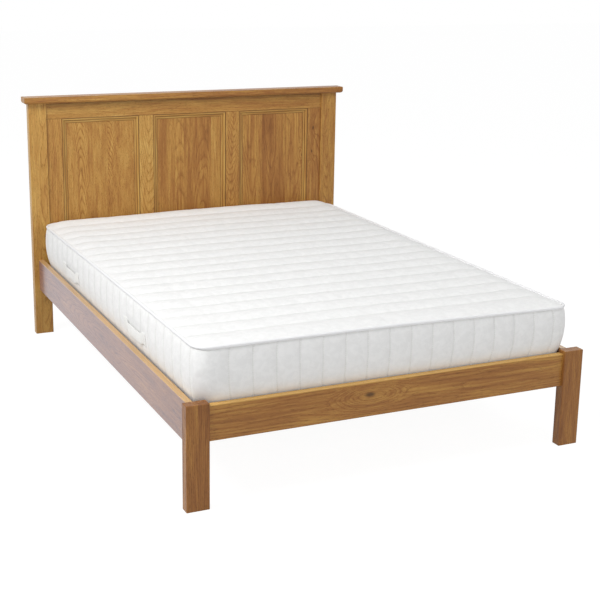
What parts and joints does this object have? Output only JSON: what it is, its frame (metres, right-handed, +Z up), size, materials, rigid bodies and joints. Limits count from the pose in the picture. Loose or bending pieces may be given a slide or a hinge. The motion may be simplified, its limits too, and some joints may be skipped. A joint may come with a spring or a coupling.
{
  "type": "panel bed",
  "caption": "Low-foot panel bed: capped headboard of framed flat panels between square posts, plain side and foot rails on short legs, slatted base, quilted mattress.",
  "frame": {"origin": "on the floor, under the middle of the bed's bounding box", "axes": "+X across the bed, +Y from the foot end to the headboard, +Z up"},
  "size_m": [1.49, 1.978, 1.04],
  "materials": {
    "oak_posts": "satin lacquered oak, upright grain",
    "oak_legs": "satin lacquered oak, upright grain",
    "oak_cap": "satin lacquered oak",
    "oak_headboard_frame": "satin lacquered oak",
    "oak_panels": "satin lacquered oak boards, edge glued",
    "oak_mouldings": "satin lacquered oak",
    "oak_rails": "satin lacquered oak, grain along the rail",
    "pine_base": "planed bare pine",
    "beech_dowels": "bare beech",
    "zinc_steel": "bright zinc plated",
    "mattress_ticking": "quilted off-white knitted ticking",
    "mattress_tape": "woven white edge tape",
    "mattress_handles": "cream woven cloth"
  },
  "bodies": {
    "frame": {"beam_hanger_foot": "zinc_steel", "beam_hanger_head": "zinc_steel", "cap_dowels": "beech_dowels", "centre_beam": "pine_base", "centre_leg_bolts": "zinc_steel", "centre_leg_foot": "pine_base", "centre_leg_head": "pine_base", "cleat_screws_all": "zinc_steel", "foot_leg_left": "oak_legs", "foot_leg_right": "oak_legs", "foot_rail": "oak_rails", "hanger_screws": "zinc_steel", "headboard_bottom_rail": "oak_headboard_frame", "headboard_cap": "oak_cap", "headboard_muntin_left": "oak_headboard_frame", "headboard_muntin_right": "oak_headboard_frame", "headboard_panel_centre": "oak_panels", "headboard_panel_left": "oak_panels", "headboard_panel_right": "oak_panels", "headboard_post_left": "oak_posts", "headboard_post_right": "oak_posts", "headboard_stile_left": "oak_headboard_frame", "headboard_stile_right": "oak_headboard_frame", "headboard_top_rail": "oak_headboard_frame", "panel_moulding_centre": "oak_mouldings", "panel_moulding_left": "oak_mouldings", "panel_moulding_right": "oak_mouldings", "rail_crescent_washers": "zinc_steel", "rail_dowels": "beech_dowels", "rail_nuts": "zinc_steel", "rail_studs": "zinc_steel", "side_rail_left": "oak_rails", "side_rail_right": "oak_rails", "slat_01": "pine_base", "slat_02": "pine_base", "slat_03": "pine_base", "slat_04": "pine_base", "slat_05": "pine_base", "slat_06": "pine_base", "slat_07": "pine_base", "slat_08": "pine_base", "slat_09": "pine_base", "slat_10": "pine_base", "slat_11": "pine_base", "slat_12": "pine_base", "slat_13": "pine_base", "slat_14": "pine_base", "slat_cleat_left": "pine_base", "slat_cleat_right": "pine_base", "slat_screws_all": "zinc_steel"},
    "mattress": {"mattress": "mattress_ticking", "mattress_handle_left_foot": "mattress_handles", "mattress_handle_left_head": "mattress_handles", "mattress_handle_right_foot": "mattress_handles", "mattress_handle_right_head": "mattress_handles", "mattress_piping_bottom": "mattress_tape", "mattress_piping_top": "mattress_tape"}
  },
  "joints": [
    {"name": "mattress_lift", "type": "slide", "parent": "frame", "child": "mattress", "axis": [0, 0, 1], "range_m": [0, 0.35]}
  ]
}
